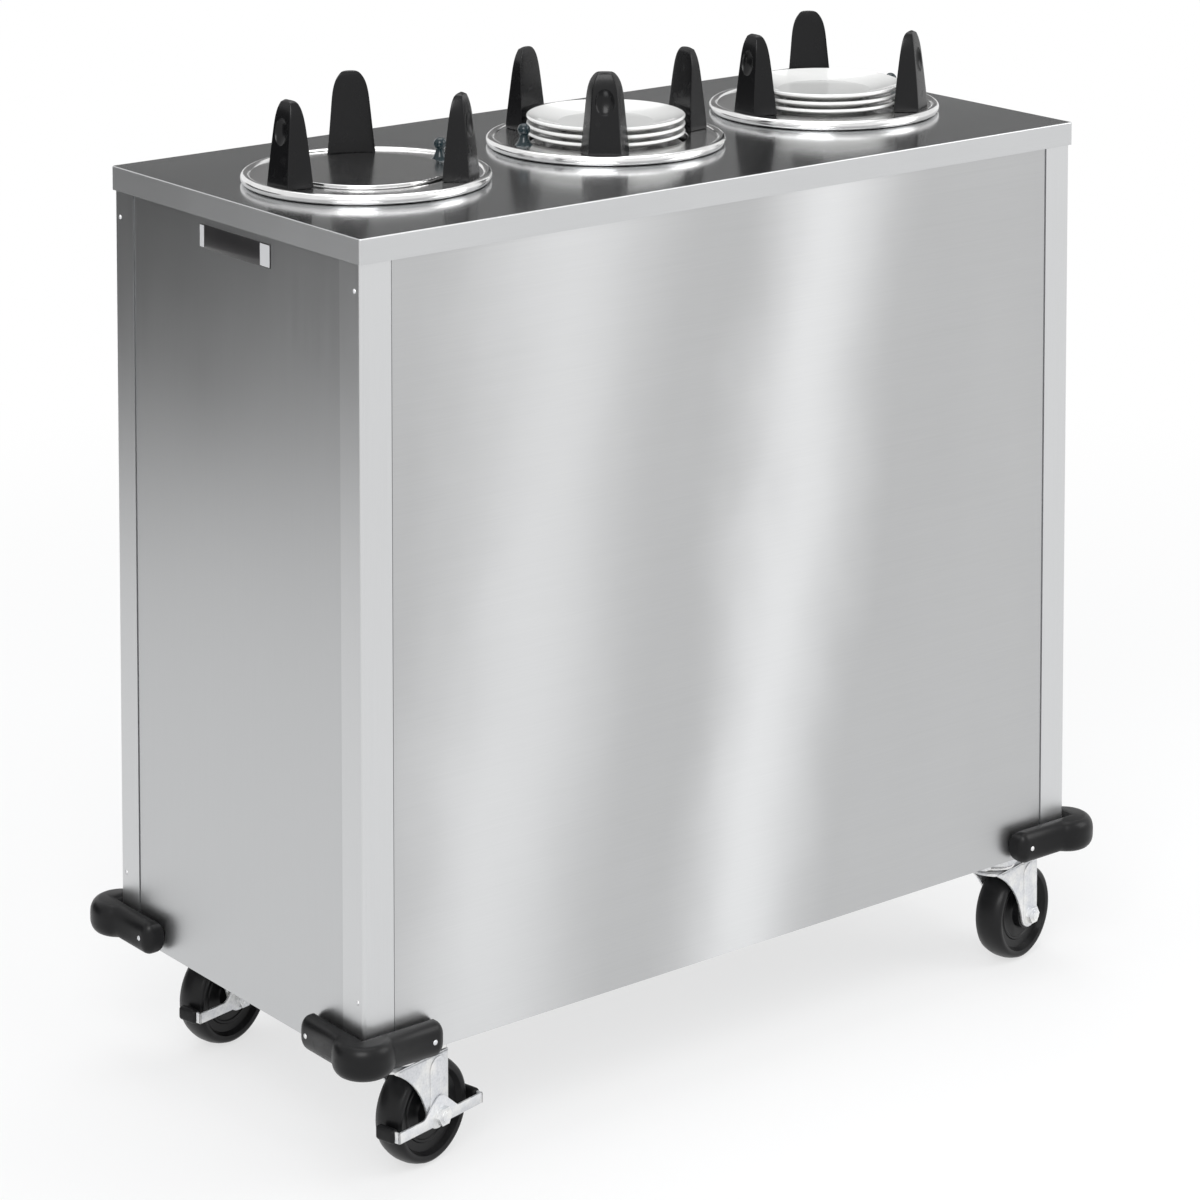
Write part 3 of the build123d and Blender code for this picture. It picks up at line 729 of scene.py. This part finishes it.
def one_fork():
    """Two pressed legs with a raised band, and the round crown between them."""
    leg_out = fork_inside + fork_sheet
    stand = Matrix.Rotation(pi / 2, 4, "X")
    pieces = []
    for side in (-1, 1):
        leg = sheet_form("fork_leg", fork_outline(), fork_sheet)
        soften(leg, leg_edge, 2)
        low = -leg_out if side < 0 else fork_inside
        pieces.append(move(leg, Matrix.Translation((0, low + fork_sheet, 0)) @ stand))
        band_top = crown_top - fork_sheet - band_r
        band = arc((caster_trail, band_top), band_r, 0, pi, 12)
        band += arc((caster_trail, wheel_r), band_r, pi, 2 * pi, 12)
        strip = sheet_form("fork_band", band, band_rise + band_sink)
        soften(strip, band_edge, 2)
        y = -leg_out + band_sink if side < 0 else leg_out + band_rise
        pieces.append(move(strip, Matrix.Translation((0, y, 0)) @ stand))
    rear = caster_trail + fork_eye_r
    back = (fork_crown_r**2 - leg_out**2) ** 0.5
    half_turn = atan2(leg_out, -back)
    crown = [(rear, -leg_out), (rear, leg_out)]
    crown += arc((0, 0), fork_crown_r, half_turn, 2 * pi - half_turn, 24)
    top = sheet_form("fork_crown", crown, fork_sheet)
    soften(top, crown_edge, 2)
    pieces.append(move(top, Matrix.Translation((0, 0, crown_top - fork_sheet))))
    whole = joined("fork_form", pieces)
    shade(whole, 35)
    return whole


def one_brake():
    """A pressed bar with a hump over the axle bolt and both ends folded inwards."""
    top = brake_low + brake_bar
    end = brake_half_length
    outline = [(-end, brake_low), (end, brake_low), (end, top), (brake_hump_foot, top)]
    hump_start = radians(brake_hump_start)
    outline += arc((0, brake_hump_r), brake_hump_r, hump_start, pi - hump_start, 12)
    outline += [(-brake_hump_foot, top), (-end, top)]
    bar = sheet_form("brake_bar", outline, brake_sheet)
    soften(bar, brake_edge, 2)
    stand = Matrix.Rotation(pi / 2, 4, "X")
    pieces = [move(bar, Matrix.Translation((caster_trail, -brake_back, wheel_r)) @ stand)]
    for side in (-1, 1):
        x = caster_trail + side * (end - brake_sheet / 2)
        y = -brake_back - brake_sheet + brake_tab / 2
        middle = (x, y, wheel_r + brake_low + brake_bar / 2)
        tab = new_block("brake_tab", (brake_sheet, brake_tab, brake_bar), middle)
        soften(tab, brake_edge, 2)
        pieces.append(tab)
    whole = joined("brake_form", pieces)
    shade(whole, 35)
    return whole


def one_grip_pair():
    """Plain rubber sleeves with rounded ends, pushed over the folded ends."""
    pieces = []
    for side in (-1, 1):
        x = caster_trail + side * (brake_half_length - brake_sheet / 2)
        y = -brake_back - brake_sheet + brake_tab - grip_back
        middle = (x, y, wheel_r + brake_low + brake_bar / 2)
        sleeve = new_block("grip", grip_size, middle)
        soften(sleeve, grip_edge, 5)
        pieces.append(sleeve)
    whole = joined("grip_form", pieces)
    shade(whole, 35)
    return whole


def caster_matrix(name):
    """Where a caster stands, and how far it is turned."""
    side_x, side_y = corners[name]
    spot = Vector((side_x * (half_l - caster_inset[0]), side_y * (half_w - caster_inset[1]), 0))
    return Matrix.Translation(spot) @ Matrix.Rotation(radians(caster_turn), 4, "Z")


def casters():
    """A fork on each corner, and a foot brake with its grips on the two braked ones."""
    fork, brake, grips = one_fork(), one_brake(), one_grip_pair()
    for name in corners:
        place = caster_matrix(name)
        leg = copied(fork, f"swivel_fork_{name}", place)
        dress(leg, finishes["zinc_plate"], f"caster_fork_{name}", "zinc_plate", f"caster_fork_{name}")
        if name in braked:
            bar = copied(brake, f"foot_brake_{name}", place)
            dress(bar, finishes["zinc_plate"], f"brake_{name}", "zinc_plate", f"brake_lever_{name}")
            sleeves = copied(grips, f"brake_sleeves_{name}", place)
            dress(sleeves, finishes["grip_rubber"], f"brake_{name}", "grip_rubber", f"brake_grips_{name}")
    for form in (fork, brake, grips):
        removed(form)


# Plate guides

def one_guide():
    """A moulded finger: a leaning front, sloping sides, a narrow back with a hollow, and a round tip."""
    depth, width = guide_foot_depth, guide_foot_width
    centre = foot_centre = guide_inner_r + depth / 2
    low = guide_foot_sheet
    finger = new_block("guide_form", (depth, width, low), (centre, 0, low / 2))
    start_edit(finger)
    pick(finger, lambda c: c.x > foot_centre)
    bpy.ops.transform.resize(value=(1, guide_back_share, 1), center_override=(centre, 0, 0))
    pick(finger, lambda c: c.z > guide_foot_sheet * 0.8, "FACE")
    for height, inner, new_depth, new_width in guide_sections:
        bpy.ops.mesh.extrude_region_move(TRANSFORM_OT_translate={"value": (0, 0, height - low)})
        new_centre = inner + new_depth / 2
        bpy.ops.transform.resize(value=(new_depth / depth, new_width / width, 1),
                                 center_override=(centre, 0, height))
        bpy.ops.transform.translate(value=(new_centre - centre, 0, 0))
        low, depth, width, centre = height, new_depth, new_width, new_centre
    bpy.ops.mesh.inset(thickness=guide_tip_inset, depth=guide_tip_rise)
    pick(finger, lambda c: c.z < guide_foot_sheet * 0.4, "EDGE")
    bpy.ops.transform.edge_crease(value=1.0)
    bpy.ops.mesh.select_all(action="SELECT")
    bpy.ops.mesh.normals_make_consistent(inside=False)
    end_edit()
    bevel = finger.modifiers.new("edges", "BEVEL")
    bevel.width = guide_edge
    bevel.segments = 2
    bevel.limit_method = "ANGLE"
    bevel.angle_limit = radians(50)
    apply_all(finger)
    smooth(finger, 2)
    hollow = new_ball("hollow", hollow_radii)
    move(hollow, Matrix.Translation(hollow_place) @ Matrix.Rotation(radians(hollow_lean), 4, "Y"))
    cut_away(finger, hollow)
    shade(finger, 38)
    return finger


def plate_guides():
    """Three fingers round each unit, turned as the unit is."""
    form = one_guide()
    for number, (x, turn) in enumerate(zip(unit_places, unit_turns), start=1):
        fingers = []
        for angle in guide_angles:
            spot = Matrix.Translation((x, 0, flange_top)) @ Matrix.Rotation(radians(turn + angle), 4, "Z")
            fingers.append(copied(form, "finger", spot))
        whole = joined(f"guides_{number}", fingers)
        dress(whole, finishes["guide_plastic"], "cabinet", "guide_plastic", f"plate_guides_{number}")
    removed(form)


# Badge plate

def badge():
    """A thin bare plate on the left end: a dark field between two pale bars."""
    face_x = -half_l + panel_recess
    plate = new_block("badge_plate", (badge_sheet, badge_length, badge_height),
                      (face_x - badge_sheet / 2, badge_centre_y, badge_centre_z))
    soften(plate, badge_edge, 2)
    shade(plate)
    dress(plate, badge_dark, "cabinet", "brushed_steel")
    bars = []
    for side, width in zip((1, -1), badge_bar_widths):
        y = badge_centre_y + side * (badge_length - width) / 2
        x = face_x - badge_sheet - badge_bar_sheet / 2 + badge_bar_sink
        size = (badge_bar_sheet, width, badge_height - 2 * badge_bar_margin)
        bar = new_block("badge_bar", size, (x, y, badge_centre_z))
        soften(bar, badge_bar_edge, 1)
        bars.append(bar)
    dress(joined("badge_bars", bars), badge_pale, "cabinet", "brushed_steel")


def rivets():
    """Small domed rivets at the lower and upper ends of the posts, on the two short sides."""
    heads = []
    for side_x, side_y in corners.values():
        for height in rivet_heights:
            dome = turned("rivet", rivet_profile, 16)
            out = Matrix.Translation((side_x * half_l, side_y * (half_w - rivet_from_edge), height))
            move(dome, out @ Matrix.Rotation(side_x * pi / 2, 4, "Y"))
            shade(dome)
            heads.append(dome)
    dress(joined("post_rivets", heads), finishes["zinc_plate"], "cabinet", "zinc_plate")


# Wheels

def wheel_matrix(name):
    """Where a wheel's middle lies, with its axle along Z turned to lie across the fork."""
    axle = Matrix.Translation((caster_trail, 0, wheel_r)) @ Matrix.Rotation(pi / 2, 4, "X")
    return caster_matrix(name) @ axle


def wheels():
    """Moulded wheels: a crowned tread, a rim ring, a recessed web with a raised bead, and a hub."""
    near = [*wheel_half_profile[::-1], wheel_shoulder]
    far = [(r, -z) for r, z in reversed(near)]
    profile = near + list(wheel_tread) + far
    form = turned("wheel_form", profile, 96)
    shade(form, 40)
    for name in corners:
        wheel = copied(form, f"caster_wheel_{name}", wheel_matrix(name))
        dress(wheel, finishes["wheel_plastic"], f"wheel_{name}", "wheel_plastic", f"wheel_{name}")
    removed(form)


bumpers()
casters()
plate_guides()
badge()
rivets()
wheels()


# Stage, light and camera

def stage_floor():
    """A wide level floor under the wheels."""
    bpy.ops.mesh.primitive_plane_add(size=24, location=(0, 0, -0.0005))
    ground = bpy.context.object
    ground.name = "studio_floor"
    ground.data.materials.append(floor_finish().material)


def shade_card(name, centre, size, aim, level):
    """A card that only the steel mirrors, as a studio sets up to draw dark bands on it."""
    bpy.ops.mesh.primitive_plane_add(size=1)
    card = bpy.context.object
    card.name = name
    direction = (Vector(aim) - Vector(centre)).normalized()
    turn = direction.to_track_quat("Z", "Y").to_matrix().to_4x4()
    card.data.transform(Matrix.Translation(centre) @ turn @ Matrix.Diagonal((*size, 1, 1)))
    finish = Finish(name, roughness=1.0)
    finish.feed(Base_Color=grey(0.0), Emission_Color=grey(level))
    finish.surface.inputs["Emission Strength"].default_value = 1.0
    card.data.materials.append(finish.material)
    card.visible_camera = False
    card.visible_diffuse = False
    card.visible_shadow = False


def softbox(name, place, aim, size, watts):
    """A large soft lamp that faces a point."""
    lamp = bpy.data.lights.new(name, "AREA")
    lamp.shape = "RECTANGLE"
    lamp.size, lamp.size_y = size
    lamp.energy = watts
    holder = bpy.data.objects.new(name, lamp)
    bpy.context.scene.collection.objects.link(holder)
    holder.location = place
    holder.rotation_euler = (Vector(aim) - Vector(place)).to_track_quat("-Z", "Y").to_euler()


def studio_world():
    """White where the camera or a reflection sees it, and a mid grey for soft light."""
    world = bpy.data.worlds.new("studio")
    bpy.context.scene.world = world
    world.use_nodes = True
    nodes, links = world.node_tree.nodes, world.node_tree.links
    ray = nodes.new("ShaderNodeLightPath")
    seen = nodes.new("ShaderNodeMath")
    seen.operation = "MAXIMUM"
    links.new(ray.outputs["Is Camera Ray"], seen.inputs[0])
    links.new(ray.outputs["Is Glossy Ray"], seen.inputs[1])
    colour = nodes.new("ShaderNodeMix")
    colour.data_type = "RGBA"
    tints = [socket for socket in colour.inputs if socket.type == "RGBA"]
    tints[0].default_value = (0.52, 0.53, 0.54, 1)
    tints[1].default_value = (1, 1, 1, 1)
    links.new(seen.outputs[0], colour.inputs[0])
    result = next(socket for socket in colour.outputs if socket.type == "RGBA")
    background = next(node for node in nodes if node.type == "BACKGROUND")
    links.new(result, background.inputs["Color"])


def photo_camera():
    """The view of the photograph."""
    lens = bpy.data.cameras.new("photo_camera")
    lens.lens = camera_lens
    lens.sensor_width = camera_sensor
    lens.shift_y = camera_shift
    lens.clip_end = 100.0
    holder = bpy.data.objects.new("photo_camera", lens)
    bpy.context.scene.collection.objects.link(holder)
    holder.location = camera_place
    holder.rotation_euler = Euler((radians(camera_tilt), 0, radians(camera_heading)))
    bpy.context.scene.camera = holder


stage_floor()
shade_card("end_card", (-1.75, 2.00, 0.62), (2.6, 1.25), (-0.454, 0, 0.62), 0.05)
shade_card("deck_card", (1.95, 2.35, 1.95), (2.7, 1.5), (0, 0, 1.3), 0.17)
softbox("key", (-2.6, -2.4, 3.2), (0, 0, 0.5), (2.2, 2.2), 95)
softbox("fill", (2.8, -2.6, 2.6), (0, 0, 0.5), (2.4, 2.4), 55)
softbox("top", (0.2, 0.4, 3.6), (0, 0, 0.5), (2.6, 2.6), 45)
studio_world()
photo_camera()

settings = bpy.context.scene.view_settings
settings.view_transform = "Standard"
